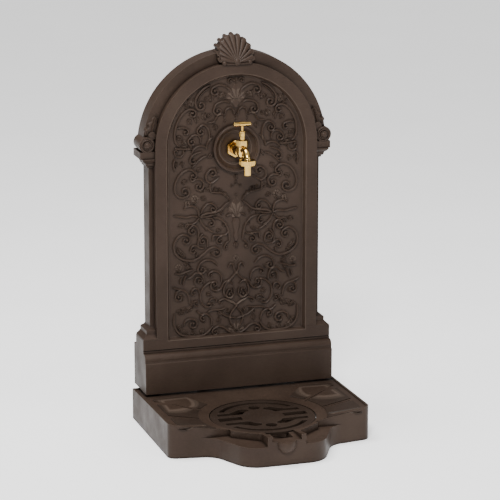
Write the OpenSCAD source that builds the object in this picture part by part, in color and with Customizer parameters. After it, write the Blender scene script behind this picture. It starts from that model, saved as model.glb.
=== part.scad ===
// Wall drinking fountain: a cast arched back panel with a bib tap, a plinth and a basin tray.
// Millimetres, +Z up, the front faces -Y. The origin is under the middle of the whole object.

/* [Overall] */
// Height from the ground to the top of the crest
fountain_h = 750; // [640:1:900]
// Depth from the tip of the spout nose to the back of the plinth
fountain_d = 390; // [370:1:470]
// Wall thickness of the castings
wall = 7; // [5:0.5:8]

/* [Basin tray] */
// Width of the tray
tray_w = 395; // [380:1:480]
// Height of the tray rim at its front corners
tray_h = 66; // [62:1:80]
// Fall of the rim from the front corners to the back
rim_fall = 6; // [0:0.5:8]
// Height of the terrace in front of the basin
terrace_z = 38; // [30:1:42]
// Half width of the straight part of the terrace front
terrace_half = 45; // [40:1:60]
// Depth of the basin floor below the seat of the grate
well_deep = 21.5; // [12:0.5:24]

/* [Drain grate] */
// Radius of the lift-out grate
grate_r = 100; // [84:0.5:104]
// Thickness of the grate
grate_t = 6; // [4:0.5:8]
// Radial gap between the grate and its seat
grate_gap = 1.5; // [0.5:0.1:3]
// Radius of the plain disc in the middle of the grate
grate_disc_r = 37.5; // [30:0.5:42]

/* [Plinth] */
// Height of the plinth
plinth_h = 83; // [70:1:110]
// Depth of the plinth
plinth_d = 85; // [80:1:110]
// Height at which the plinth stands on the tray
plinth_z = 65; // [64:1:70]

/* [Back panel] */
// Width between the outer faces of the pilasters
panel_w = 340; // [300:1:352]
// Depth of the panel at its flat frame
panel_d = 54; // [50:1:64]
// Width of the flat frame round the recess
frame_w = 22; // [16:1:30]
// Step from the flat frame back to the pilasters
pilaster_set = 17; // [10:0.5:20]
// Depth of the recessed field inside the frame
recess_deep = 8; // [5:0.5:10]
// Height of the crest above the arch
crest_rise = 31; // [20:1:45]
// Radius of the ring round the tap
ring_r = 46; // [40:0.5:56]

/* [Tap] */
// Radius of the tap's wall thread
tail_r = 10.48; // [9:0.02:12]
// Distance from the frame plane to the spindle axis
spindle_reach = 33; // [30:0.5:45]
// Distance from the spindle axis forward to the nozzle axis
nozzle_reach = 33; // [28:0.5:42]
// Radius of the spindle
spindle_r = 2.4; // [2:0.1:3]
// Length of the tee bar
tee_len = 34; // [26:0.5:50]
// Radius of the tee bar
tee_r = 3.7; // [3:0.1:4.5]
// Outer radius of the hose union nut
union_r = 15.4; // [15:0.1:18]
// Outer radius of the hose tail
hose_r = 6.8; // [6:0.1:7.5]
// Length of the hose tail below the union nut
hose_len = 20; // [12:0.5:40]
// Rise of the valve when it is fully open
valve_lift = 3; // [2:0.1:3.5]

/* [Fits and fasteners] */
// Radial clearance of a turning or sliding fit
run_clear = 0.05; // [0.02:0.01:0.1]
// Radius of the flange bolts
bolt_r = 4; // [3:0.5:4]
// Radius of the wall fixing holes
fixing_r = 4.5; // [3:0.25:6]

/* [Hidden] */
$fn = 96;
bronze = "#4a4038";
bronze_lit = "#5d5148";
bronze_dark = "#2e2925";
brass = "#d9b45a";
steel = "#b9bcc0";
rubber = "#26282a";
fibre = "#8a4a38";

// Places along Y
front_y = -fountain_d / 2;
back_y = fountain_d / 2;
plinth_front = back_y - plinth_d;
panel_back = back_y - 14;
frame_front = panel_back - panel_d;
pilaster_front = frame_front + pilaster_set;
recess_floor = frame_front + recess_deep;
tray_back = back_y - 19;
nose_out = 12;
terrace_front = front_y + nose_out;
grate_y = terrace_front + 148;
tray_corner_y = grate_y - 52.5;
tray_front_y = tray_corner_y - 6.5;

// Places along Z
plinth_top = plinth_z + plinth_h;
cap_h = 20;
cap_top = plinth_top + cap_h;
pilaster_half = panel_w / 2;
arch_r = pilaster_half + 12;
frame_half = pilaster_half - 9.3;
recess_half = frame_half - frame_w;
arch_z = fountain_h - crest_rise - arch_r;
recess_z = plinth_top + 16;
tap_z = arch_z - 7;

// Basin
grate_top = 49.5;
seat_z = grate_top - grate_t;
seat_r = grate_r + grate_gap;
well_r = grate_r - 10;
well_z = seat_z - well_deep;
dish_slope = 0.1625;
rim_w = 5;
rim_back = tray_h - rim_fall;
pad_drop = 2;
ledge_x = 111;
ledge_t = 8;
ledge_run = 18;
seat_boss_r = 13;
dish_margin = 4;
pad_angles = [29, 2, -30];
pad_inner_r = 119;
groove_w = 2;
groove_deep = 1.5;
corner_r = 16;
bulge_r = 46;
cove_r = 42;
tray_half = tray_w / 2;
cove_x = terrace_half + 98;
tangent_a = acos((bulge_r + cove_r) / 98);
step_x = 85;
step_y = grate_y - 73;
hollow_skin = 8;
cheek_out = 37;
cheek_in = 28.5;
cheek_back_y = grate_y - 111;
pit_half = 18;
spout_z = 57.5;
lip_z = 47;
nose_r = 20;
nose_drop = 6;

// Grate slots
slot_out = grate_r - 13;
slot_arc_w = 9;
slot_side = 9;
eye_r = 10.5;

// Plinth
plinth_half = pilaster_half + 18.2;
flange_t = 8;

// Mouldings: [distance out from the pilaster, height] from bottom to top
foot_outline = [[17.5, cap_top], [17.5, cap_top + 2], [11, cap_top + 8], [9.2, cap_top + 10],
    [9.2, cap_top + 17], [7.8, cap_top + 18], [2, cap_top + 20], [0, cap_top + 23]];
capital_z = arch_z - 35;
capital_outline = [[0, capital_z], [3.5, capital_z + 1], [3.5, capital_z + 4], [6, capital_z + 5],
    [8, capital_z + 9], [8, capital_z + 11], [12, capital_z + 14], [15, capital_z + 17.5],
    [15, capital_z + 19.5]];
impost_z = capital_z + 19.5;
impost_top = capital_z + 33;
impost_out = 19;
impost_y = pilaster_front - 12;
archivolt_out = 3;
volute_r = 15;
volute_x = pilaster_half + 5.5;
volute_z = impost_top + volute_r - 1.5;
volute_back = panel_back - 6;

// Crest
crest_z = arch_z + arch_r - 20;
crest_h = fountain_h - crest_z;
crest_front = frame_front - 10;
crest_back = panel_back - 12;
crest_lean = 38;
crest_foot = crest_z - 10;
crest_root = 20;
rib_count = 11;
rib_sweep = 80;
rib_tip_r = 4;

// Hollow back of the panel
fixing_x = recess_half - 14;
fixing_z = arch_z + 20;
lug_half = 15;
deep_hollow = recess_floor + wall;
wide_hollow = pilaster_front + wall;
ring_z = arch_z - 5;
ring_lip = 5;
dish_r = ring_r - 17;

// Tap
dish_floor = recess_floor + 11;
panel_wall_back = dish_floor + wall + 1;
spindle_y = frame_front - spindle_reach;
nozzle_y = spindle_y - nozzle_reach;
barrel_r = 9;
barrel_bore = 7.5;
spout_r = 6.2;
spout_bore = 3;
spout_rise = 7;
spout_fall = 12;
nozzle_r = 7.6;
elbow_cap = 5.5;
elbow_cone = 2.6;
chamber_r = 9.5;
chamber_foot = 9.5;
chamber_bore = 7.6;
chamber_top = tap_z + 13.5;
valve_z = tap_z + 2;
washer_t = 2.2;
jumper_t = 2.2;
jumper_r = 6.2;
jumper_stem_r = 1.9;
spindle_z = valve_z + washer_t + jumper_t;
thread_r = 4.95;
thread_top = spindle_z + 13.1;
bonnet_z = chamber_top + 0.8;
spigot_z = spindle_z + valve_lift + 0.7;
bonnet_hex = 11.2;
bonnet_af = 21;
neck_r = 4.8;
neck_top = bonnet_z + bonnet_hex + 7;
gland_r = 4;
gland_z = neck_top + 0.2;
gland_hex = 7.2;
tee_z = gland_z + 23.7;
head_r = tee_r + 1;
nozzle_top = tap_z - 6.5;
union_h = 9;
union_z = nozzle_top - union_h;
union_bore = union_r - 2.4;
nozzle_bore = 4.6;
hose_bore = hose_r - 2;
hose_neck_r = hose_r + 1;

// Wall fastening of the tap
nut_t = 7.8;
gasket_t = 0.7;
rear_gasket_t = 2.5;
rear_washer_t = 2;
backnut_t = 8.5;
tail_end = panel_back - 3;
inlet_r = tail_r - 1;
backnut_y = panel_wall_back + rear_gasket_t + rear_washer_t;
backnut_end = backnut_y + backnut_t;
tail_front = dish_floor - gasket_t - nut_t - 2;
spout_run = nozzle_reach / cos(spout_fall);
elbow_z = tap_z + spout_rise - nozzle_reach * tan(spout_fall);

// Flange bolts: one row joins the panel to the plinth, the other joins the plinth to the tray
bolt_y = panel_back - 21;
panel_bolt_x = [for (k = [-7, -3, 3, 7]) k * panel_w / 17];
tray_bolt_side = 38.2;
tray_bolt_x = [for (k = [-1, -0.4, 0.4, 1]) k * (plinth_half - tray_bolt_side)];
bolt_head = 5.3;
washer_h = 1.6;
bolt_clear = 0.5;
nut_pocket_r = 11;
nut_h = 6.5;

// Waste
waste_r = 20.2;
waste_bore = 16;
waste_flange = 27;
waste_floor = 6;

function arc(cx, cy, r, a0, a1, n = 16) =
    [for (i = [0 : n]) let (a = a0 + (a1 - a0) * i / n) [cx + r * cos(a), cy + r * sin(a)]];

// A 2D shape in X and Z, thick from y0 back to y1
module slab(y0, y1) {
    translate([0, y1, 0])
        rotate([90, 0, 0])
            linear_extrude(y1 - y0)
                children();
}

// A round bar along Y from y0 to y1
module rod_y(x, z, r, y0, y1) {
    translate([x, y1, z])
        rotate([90, 0, 0])
            cylinder(r = r, h = y1 - y0);
}

module both_sides() {
    children();
    mirror([1, 0, 0])
        children();
}

module arch2d(half, z0) {
    translate([-half, z0])
        square([2 * half, arch_z - z0]);
    translate([0, arch_z])
        circle(r = half);
}

module hex2d(af) {
    circle(r = af / sqrt(3), $fn = 6);
}

// A moulding that runs round the front and sides of the pilasters.
// outline holds [distance out from the pilaster, height] from bottom to top.
module moulding(outline) {
    side = [for (p = outline) [pilaster_half + p[0], p[1]]];
    last = len(outline) - 1;
    front = [for (p = outline) [pilaster_front - p[0], p[1]]];
    intersection() {
        slab(pilaster_front - 40, panel_back)
            polygon(concat(side, [for (i = [last : -1 : 0]) [-side[i][0], side[i][1]]]));
        translate([-pilaster_half - 40, 0, 0])
            rotate([90, 0, 90])
                linear_extrude(2 * pilaster_half + 80)
                    polygon(concat(front, [[panel_back, outline[last][1]], [panel_back, outline[0][1]]]));
    }
}

// ---- Back panel ----

module pilasters_and_arch() {
    slab(pilaster_front, panel_back)
        translate([-pilaster_half, cap_top])
            square([2 * pilaster_half, arch_z - cap_top]);
    slab(pilaster_front - archivolt_out, panel_back)
        intersection() {
            translate([0, arch_z])
                circle(r = arch_r);
            translate([-arch_r, impost_top - 1])
                square([2 * arch_r, arch_r * 2]);
        }
    slab(frame_front, pilaster_front + 1)
        arch2d(frame_half, plinth_top);
    slab(frame_front, panel_back)
        translate([-plinth_half, plinth_top])
            square([2 * plinth_half, cap_h]);
    moulding(foot_outline);
    moulding(capital_outline);
    slab(impost_y, panel_back)
        translate([-pilaster_half - impost_out, impost_z])
            square([panel_w + 2 * impost_out, impost_top - impost_z]);
    both_sides()
        volute();
}

module volute() {
    rod_y(volute_x, volute_z, volute_r, impost_y, volute_back);
    rod_y(volute_x, volute_z, volute_r * 0.45, impost_y - 3, volute_back);
    rod_y(volute_x - 11, volute_z + 17, volute_r / 2, impost_y + 2, volute_back);
}

function rib_angle(i) = rib_sweep * (2 * i / (rib_count - 1) - 1);

// Height of the fan's edge at an angle from straight up
function fan_reach(a) = (crest_h - rib_tip_r) * (1 - 0.36 * pow(abs(a) / 90, 1.4));

module crest_outline() {
    for (i = [0 : rib_count - 1])
        let (a = rib_angle(i), reach = fan_reach(a))
            translate([sin(a) * reach, crest_z + cos(a) * reach])
                circle(r = rib_tip_r);
    polygon(concat([[-crest_root, crest_z - rib_tip_r]],
        [for (i = [0 : rib_count - 1]) let (a = rib_angle(i))
            [sin(a) * fan_reach(a), crest_z + cos(a) * fan_reach(a)]],
        [[crest_root, crest_z - rib_tip_r]]));
}

module crest() {
    difference() {
        slab(crest_front, crest_back)
            crest_outline();
        translate([-60, crest_front, crest_foot])
            rotate([-crest_lean, 0, 0])
                translate([0, -100, -20])
                    cube([120, 100, 140]);
    }
}

module back_panel() {
    color(bronze)
        difference() {
            union() {
                difference() {
                    pilasters_and_arch();
                    slab(frame_front - 30, recess_floor)
                        arch2d(recess_half, recess_z);
                }
                crest();
                rod_y(0, ring_z, ring_r, frame_front + 1, recess_floor + 1);
            }
            rod_y(0, ring_z, ring_r - ring_lip, frame_front - 10, recess_floor + 4);
            rod_y(0, ring_z, dish_r, frame_front - 10, dish_floor);
            panel_hollow();
            rod_y(0, tap_z, tail_r + 0.5, recess_floor, panel_back);
            for (x = panel_bolt_x)
                translate([x, bolt_y, plinth_top - 1])
                    cylinder(r = bolt_r + bolt_clear, h = flange_t + 2);
            both_sides()
                rod_y(fixing_x, fixing_z, fixing_r, panel_back - 20, panel_back + 1);
        }
}

// The open back of the casting, with a boss left round the tap and a lug at each wall fixing
module panel_hollow() {
    difference() {
        union() {
            slab(deep_hollow, panel_back + 1)
                arch2d(frame_half - wall, plinth_top + flange_t);
            slab(wide_hollow, panel_back + 1)
                arch2d(pilaster_half - wall, plinth_top + flange_t);
        }
        rod_y(0, tap_z, ring_r - 8, deep_hollow - 1, panel_wall_back);
        both_sides()
            slab(panel_back - wall, panel_back)
                polygon([[fixing_x - lug_half, fixing_z - lug_half], [pilaster_half, fixing_z - lug_half],
                    [pilaster_half, fixing_z + lug_half], [fixing_x - lug_half, fixing_z + lug_half]]);
    }
}

// ---- Plinth ----

module plinth_outline() {
    top = plinth_top;
    set = frame_front - plinth_front;
    polygon(concat([[back_y, plinth_z + 10], [back_y, plinth_z], [plinth_front, plinth_z],
            [plinth_front, top - 24], [plinth_front + 1, top - 22.5], [plinth_front + 3.3, top - 21.5]],
        arc(plinth_front + 13.4, top - 15.8, 10, 200, 92, 12),
        [[plinth_front + set - 0.5, top - 5.7], [plinth_front + set - 0.5, top - 2],
            [plinth_front + set + 2, top - 1.6], [plinth_front + set + 2, top],
            [panel_back, top], [back_y, top]]));
}

module plinth() {
    color(bronze_lit)
        difference() {
            translate([-plinth_half, 0, 0])
                rotate([90, 0, 90])
                    linear_extrude(2 * plinth_half)
                        plinth_outline();
            translate([-plinth_half + wall, plinth_front + wall, plinth_z + flange_t])
                cube([2 * (plinth_half - wall), plinth_d, plinth_h - 2 * flange_t - 16]);
            translate([-plinth_half + wall, frame_front + wall + 4, plinth_z + flange_t])
                cube([2 * (plinth_half - wall), plinth_d, plinth_h - 2 * flange_t]);
            translate([-plinth_half + 30, plinth_front + wall + 8, plinth_z - 1])
                cube([2 * (plinth_half - 30), bolt_y - plinth_front - wall - 22, flange_t + 2]);
            for (x = panel_bolt_x)
                translate([x, bolt_y, plinth_top - flange_t - 1])
                    cylinder(r = bolt_r + bolt_clear, h = flange_t + 2);
            for (x = tray_bolt_x)
                translate([x, bolt_y, plinth_z - 1])
                    cylinder(r = bolt_r + bolt_clear, h = flange_t + 2);
        }
}

// ---- Basin tray ----

// Plan of half of the tray, and of half of its low front terrace
half_tray = concat([[0, tray_back], [tray_half, tray_back]],
    arc(tray_half - corner_r, tray_corner_y + corner_r, corner_r, 0, -85, 10),
    [[cove_x, tray_front_y], [step_x, tray_front_y - 2], [step_x, step_y], [cheek_out, cheek_back_y],
        [cheek_out, terrace_front], [0, terrace_front]]);
half_terrace = concat([[0, tray_front_y + 20], [cove_x, tray_front_y + 20], [cove_x, tray_front_y]],
    arc(cove_x, tray_front_y - cove_r, cove_r, 90, 180 - tangent_a, 10),
    arc(terrace_half, terrace_front + bulge_r, bulge_r, -tangent_a, -90, 12),
    [[0, terrace_front]]);

module tray_block() {
    intersection() {
        linear_extrude(tray_h)
            both_sides()
                polygon(half_tray);
        translate([-tray_half - 1, 0, 0])
            rotate([90, 0, 90])
                linear_extrude(tray_w + 2)
                    polygon([[front_y - 1, 0], [tray_back + 1, 0], [tray_back + 1, rim_back],
                        [tray_corner_y, tray_h], [tray_front_y - 1, tray_h],
                        [step_y + 10, spout_z], [front_y - 1, spout_z]]);
    }
    linear_extrude(terrace_z)
        both_sides()
            polygon(half_terrace);
}

module dish_cut() {
    low_r = grate_r + dish_margin;
    high = 26;
    translate([0, grate_y, grate_top + dish_slope * dish_margin])
        cylinder(r1 = low_r, r2 = low_r + high / dish_slope, h = high);
}

// The dished top, inside the rims and below their level
module dish() {
    intersection() {
        dish_cut();
        translate([-tray_half + rim_w, front_y, 0])
            cube([tray_w - 2 * rim_w, tray_back - front_y - rim_w, tray_h + 30]);
    }
    translate([-tray_half + rim_w, 0, 0])
        rotate([90, 0, 90])
            linear_extrude(tray_w - 2 * rim_w)
                polygon([[tray_corner_y + 12, tray_h + 20], [tray_corner_y + 12, tray_h - pad_drop],
                    [tray_back - rim_w, rim_back - pad_drop], [tray_back - rim_w, tray_h + 20]]);
}

// The ledges under the plinth's front corners, and the bosses that carry it
module plinth_seats() {
    both_sides()
        translate([ledge_x, plinth_front - 6, rim_back - ledge_t])
            cube([tray_half - rim_w - ledge_x, ledge_run, ledge_t]);
    for (x = tray_bolt_x)
        translate([x, bolt_y, rim_back - ledge_t])
            cylinder(r = seat_boss_r, h = plinth_z - rim_back + ledge_t);
}

module pad_grooves() {
    both_sides()
        for (a = pad_angles)
            translate([0, grate_y, grate_top - dish_slope * grate_r - groove_deep])
                rotate([0, 0, a])
                    rotate([0, -atan(dish_slope), 0])
                        translate([pad_inner_r, -groove_w / 2, 0])
                            cube([60, groove_w, 6]);
}

module spout_channel() {
    pit_back = grate_y - well_r + 6;
    translate([-cheek_in, terrace_front - 1, lip_z])
        cube([2 * cheek_in, grate_y - seat_r - terrace_front + 12, 40]);
    translate([-pit_half, terrace_front + 18, well_z + 2])
        cube([2 * pit_half, pit_back - terrace_front - 18, 60]);
}

module under_hollows() {
    inner = well_r + hollow_skin;
    high = seat_z + 1;
    both_sides()
        translate([inner, tray_corner_y + wall + 2, -1])
            cube([tray_half - wall - inner, tray_back - tray_corner_y - 2 * wall - 2, high]);
    translate([-inner, grate_y + inner, -1])
        cube([2 * inner, tray_back - wall - grate_y - inner, high]);
    translate([0, grate_y, -1])
        cylinder(r = well_r - wall, h = well_z - waste_floor + 1);
    both_sides()
        translate([26, terrace_front + wall + 2, -1])
            cube([terrace_half, 34, terrace_z - wall + 1]);
}

module basin_tray() {
    color(bronze_lit)
        difference() {
            union() {
                difference() {
                    tray_block();
                    dish();
                    pad_grooves();
                }
                plinth_seats();
                intersection() {
                    translate([0, front_y + nose_r, lip_z - nose_drop])
                        sphere(r = nose_r);
                    translate([-nose_r, front_y, 0])
                        cube([2 * nose_r, nose_r + 30, lip_z]);
                }
            }
            translate([0, grate_y, seat_z])
                cylinder(r = seat_r, h = 60);
            translate([0, grate_y, well_z])
                cylinder(r = well_r, h = 60);
            spout_channel();
            under_hollows();
            translate([0, grate_y, -1])
                cylinder(r = waste_r + 0.3, h = 60);
            for (x = tray_bolt_x) {
                translate([x, bolt_y, -1])
                    cylinder(r = bolt_r + bolt_clear, h = 80);
                translate([x, bolt_y, -1])
                    cylinder(r = nut_pocket_r, h = plinth_z - flange_t + 1);
            }
        }
}

// ---- Drain grate ----

module grate_slots() {
    for (s = [0, 1])
        mirror([0, s])
            polygon(concat(arc(0, 0, slot_out, 33, 147, 30), arc(0, 0, slot_out - slot_arc_w, 145, 35, 30)));
    for (s = [0, 1])
        mirror([s, 0]) {
            translate([grate_disc_r + 3.5, -slot_side])
                square([slot_out - grate_disc_r - 4, 2 * slot_side]);
            for (t = [0, 1])
                mirror([0, t])
                    polygon([[slot_out - 6, 22.5], [slot_out - 7, 34], [56, 34.5], [46, 40], [30, 52],
                        [19, 50], [14, 42], [26, 33], [33, 22.5]]);
        }
    for (s = [0, 1])
        mirror([0, s])
            translate([0, grate_disc_r + 6.5 + eye_r])
                circle(r = eye_r);
}

module drain_grate() {
    color(bronze_dark)
        translate([0, grate_y, seat_z])
            difference() {
                cylinder(r = grate_r, h = grate_t);
                translate([0, 0, -1])
                    linear_extrude(grate_t + 2)
                        grate_slots();
            }
}

// ---- Flange bolts ----

// Places the children at each bolt with z 0 at the top of the upper flange
module at_bolts() {
    for (x = panel_bolt_x)
        translate([x, bolt_y, plinth_top + flange_t])
            children();
    for (x = tray_bolt_x)
        translate([x, bolt_y, plinth_z + flange_t])
            children();
}

module flange_bolts() {
    color(steel)
        at_bolts() {
            translate([0, 0, washer_h])
                linear_extrude(bolt_head)
                    hex2d(3.25 * bolt_r);
            translate([0, 0, -2 * flange_t - nut_h - 2.5])
                cylinder(r = bolt_r, h = 2 * flange_t + nut_h + washer_h + 3);
        }
}

module flange_washers() {
    color(steel)
        at_bolts()
            difference() {
                cylinder(r = 2 * bolt_r, h = washer_h);
                translate([0, 0, -1])
                    cylinder(r = bolt_r + 0.2, h = washer_h + 2);
            }
}

module flange_nuts() {
    color(steel)
        at_bolts()
            translate([0, 0, -2 * flange_t - nut_h])
                difference() {
                    linear_extrude(nut_h)
                        hex2d(3.25 * bolt_r);
                    translate([0, 0, -1])
                        cylinder(r = bolt_r + run_clear, h = nut_h + 2);
                }
}

// ---- Tap ----

module tap_body() {
    color(brass)
        difference() {
            union() {
                rod_y(0, tap_z, barrel_r, spindle_y, tail_front);
                rod_y(0, tap_z, tail_r, tail_front, backnut_end);
                rod_y(0, tap_z, inlet_r, backnut_end - 1, tail_end);
                translate([0, spindle_y, tap_z - chamber_foot])
                    cylinder(r = chamber_r, h = chamber_top - tap_z + chamber_foot);
                translate([0, spindle_y, tap_z + spout_rise])
                    rotate([90 + spout_fall, 0, 0])
                        cylinder(r = spout_r, h = spout_run + 1.5);
                translate([0, nozzle_y, nozzle_top - 1])
                    cylinder(r = nozzle_r, h = elbow_z - nozzle_top + elbow_cap);
                translate([0, nozzle_y, elbow_z + elbow_cap - 1])
                    cylinder(r1 = nozzle_r, r2 = nozzle_r - elbow_cone, h = elbow_cone);
                translate([0, nozzle_y, nozzle_top - 3.5])
                    cylinder(r = union_bore - run_clear, h = 3.3);
            }
            translate([0, spindle_y, valve_z])
                cylinder(r = chamber_bore, h = 30);
            translate([0, spindle_y, tap_z - 6])
                cylinder(r = 4.2, h = 30);
            rod_y(0, tap_z, barrel_bore, spindle_y + 20, tail_end + 1);
            rod_y(0, tap_z - 3, 3.6, spindle_y, spindle_y + 21);
            translate([0, spindle_y, tap_z + spout_rise])
                rotate([90 + spout_fall, 0, 0])
                    cylinder(r = spout_bore, h = spout_run - 1);
            translate([0, nozzle_y, nozzle_top - 5])
                cylinder(r = nozzle_bore, h = elbow_z - nozzle_top + 6.5);
        }
}

module wall_nut() {
    color(brass)
        difference() {
            slab(dish_floor - gasket_t - nut_t, dish_floor - gasket_t)
                translate([0, tap_z])
                    rotate(30)
                        hex2d(29.4);
            rod_y(0, tap_z, tail_r + run_clear, dish_floor - 20, dish_floor + 1);
        }
}

module ring_y(r_out, r_in, y0, y1) {
    difference() {
        rod_y(0, tap_z, r_out, y0, y1);
        rod_y(0, tap_z, r_in, y0 - 1, y1 + 1);
    }
}

module wall_gasket() {
    color(fibre)
        ring_y(14, tail_r + run_clear, dish_floor - gasket_t, dish_floor);
}

module rear_gasket() {
    color(rubber)
        ring_y(17, tail_r + run_clear, panel_wall_back, panel_wall_back + rear_gasket_t);
}

module rear_washer() {
    color(steel)
        translate([0, rear_gasket_t, 0])
            ring_y(17, tail_r + run_clear, panel_wall_back, panel_wall_back + rear_washer_t);
}

module rear_backnut() {
    color(brass)
        difference() {
            slab(backnut_y, backnut_end)
                translate([0, tap_z])
                    hex2d(30);
            rod_y(0, tap_z, tail_r + run_clear, backnut_y - 1, backnut_end + 1);
        }
}

module bonnet() {
    color(brass)
        translate([0, spindle_y, 0])
            difference() {
                union() {
                    translate([0, 0, bonnet_z])
                        linear_extrude(bonnet_hex)
                            hex2d(bonnet_af);
                    translate([0, 0, spigot_z])
                        cylinder(r = chamber_bore - run_clear, h = bonnet_z - spigot_z + 1);
                    translate([0, 0, bonnet_z + bonnet_hex])
                        cylinder(r = neck_r, h = 7);
                    translate([0, 0, neck_top])
                        cylinder(r = gland_r, h = 3.5);
                }
                translate([0, 0, bonnet_z - 10])
                    cylinder(r = thread_r + 0.35, h = thread_top + valve_lift + 1 - bonnet_z + 10);
                translate([0, 0, bonnet_z - 10])
                    cylinder(r = spindle_r + run_clear, h = 60);
            }
}

module bonnet_gasket() {
    color(fibre)
        translate([0, spindle_y, chamber_top])
            difference() {
                cylinder(r = chamber_r, h = bonnet_z - chamber_top);
                translate([0, 0, -1])
                    cylinder(r = chamber_bore, h = 3);
            }
}

module gland_nut() {
    color(brass)
        translate([0, spindle_y, gland_z])
            difference() {
                union() {
                    linear_extrude(gland_hex)
                        hex2d(10.4);
                    cylinder(r = 4.4, h = gland_hex + 1.2);
                    translate([0, 0, gland_hex + 1])
                        cylinder(r = 6.1, h = 1.7);
                }
                translate([0, 0, -1])
                    cylinder(r = gland_r + run_clear, h = gland_hex + 0.7);
                cylinder(r = spindle_r + 0.1, h = 20);
            }
}

module gland_packing() {
    color(rubber)
        translate([0, spindle_y, neck_top + 3.5])
            difference() {
                cylinder(r = gland_r, h = gland_z + gland_hex - 0.3 - neck_top - 3.5);
                translate([0, 0, -1])
                    cylinder(r = spindle_r + run_clear, h = 9);
            }
}

module spindle() {
    color(brass)
        translate([0, spindle_y, 0])
            difference() {
                union() {
                    translate([0, 0, spindle_z])
                        cylinder(r = thread_r, h = thread_top - spindle_z);
                    translate([0, 0, spindle_z])
                        cylinder(r = spindle_r, h = tee_z - spindle_z);
                    translate([-5.5, 0, tee_z])
                        rotate([0, 90, 0])
                            cylinder(r = head_r, h = 11);
                }
                translate([0, 0, spindle_z - 1])
                    cylinder(r = jumper_stem_r + run_clear, h = 10.5);
                translate([-10, 0, tee_z])
                    rotate([0, 90, 0])
                        cylinder(r = tee_r + run_clear, h = 20);
            }
}

module tee_bar() {
    color(brass)
        translate([0, spindle_y, tee_z])
            rotate([0, 90, 0]) {
                translate([0, 0, -tee_len / 2 + 0.8])
                    cylinder(r = tee_r, h = tee_len - 1.6);
                translate([0, 0, tee_len / 2 - 0.8])
                    cylinder(r1 = tee_r, r2 = tee_r - 0.8, h = 0.8);
                translate([0, 0, -tee_len / 2])
                    cylinder(r1 = tee_r - 0.8, r2 = tee_r, h = 0.8);
            }
}

module jumper() {
    color(brass)
        translate([0, spindle_y, valve_z + washer_t]) {
            cylinder(r = jumper_r, h = jumper_t);
            cylinder(r = jumper_stem_r, h = jumper_t + 9);
            translate([0, 0, -washer_t - 2.6])
                cylinder(r = 1.4, h = washer_t + 3);
        }
}

module seat_washer() {
    color(rubber)
        translate([0, spindle_y, valve_z])
            difference() {
                cylinder(r = jumper_r - 0.3, h = washer_t);
                translate([0, 0, -1])
                    cylinder(r = 1.4 + run_clear, h = 5);
            }
}

module jumper_nut() {
    color(brass)
        translate([0, spindle_y, valve_z - 2.2])
            difference() {
                linear_extrude(2.2)
                    hex2d(5);
                translate([0, 0, -1])
                    cylinder(r = 1.4 + run_clear, h = 5);
            }
}

module union_nut() {
    flutes = 24;
    color(brass)
        translate([0, nozzle_y, union_z])
            difference() {
                cylinder(r = union_r, h = union_h);
                for (i = [0 : flutes - 1])
                    rotate(360 * i / flutes)
                        translate([union_r + 0.9, 0, 1.4])
                            cylinder(r = 1.4, h = union_h - 2.8, $fn = 16);
                translate([0, 0, 1.5])
                    cylinder(r = union_bore, h = union_h);
                translate([0, 0, -1])
                    cylinder(r = hose_neck_r + run_clear, h = union_h);
            }
}

module hose_tail() {
    color(brass)
        translate([0, nozzle_y, union_z - hose_len])
            difference() {
                union() {
                    cylinder(r = hose_r, h = hose_len + 1);
                    translate([0, 0, hose_len])
                        cylinder(r = hose_neck_r, h = 2);
                    translate([0, 0, hose_len + 1.5])
                        cylinder(r = union_bore - 0.3, h = 2);
                }
                translate([0, 0, -1])
                    cylinder(r = hose_bore, h = hose_len + 9);
            }
}

module hose_washer() {
    color(rubber)
        translate([0, nozzle_y, union_z + 3.5])
            difference() {
                cylinder(r = union_bore - 0.3, h = nozzle_top - 3.5 - union_z - 3.5);
                translate([0, 0, -1])
                    cylinder(r = nozzle_bore, h = 9);
            }
}

// ---- Waste ----

module waste_tail() {
    color(brass)
        translate([0, grate_y, 0])
            difference() {
                union() {
                    translate([0, 0, 2])
                        cylinder(r = waste_r, h = well_z);
                    translate([0, 0, well_z])
                        cylinder(r = waste_flange, h = 2);
                }
                cylinder(r = waste_bore, h = 60);
            }
}

module waste_gasket() {
    color(rubber)
        translate([0, grate_y, well_z - waste_floor - 2])
            difference() {
                cylinder(r = waste_flange, h = 2);
                translate([0, 0, -1])
                    cylinder(r = waste_r + run_clear, h = 4);
            }
}

module waste_backnut() {
    color(brass)
        translate([0, grate_y, well_z - waste_floor - 9])
            difference() {
                linear_extrude(7)
                    hex2d(50);
                translate([0, 0, -1])
                    cylinder(r = waste_r + run_clear, h = 9);
            }
}

back_panel();
plinth();
basin_tray();
drain_grate();
flange_bolts();
flange_washers();
flange_nuts();
tap_body();
wall_nut();
wall_gasket();
rear_gasket();
rear_washer();
rear_backnut();
bonnet();
bonnet_gasket();
gland_nut();
gland_packing();
spindle();
tee_bar();
jumper();
seat_washer();
jumper_nut();
union_nut();
hose_tail();
hose_washer();
waste_tail();
waste_gasket();
waste_backnut();
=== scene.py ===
"""Wall drinking fountain: the looks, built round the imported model.

Lengths here are millimetres in the model's own frame, +Z up and -Y to the front, and piece() turns them
into metres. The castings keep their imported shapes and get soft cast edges; the relief, the crest, the
volutes, the tap and the tray's trim are built here.
"""

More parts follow.
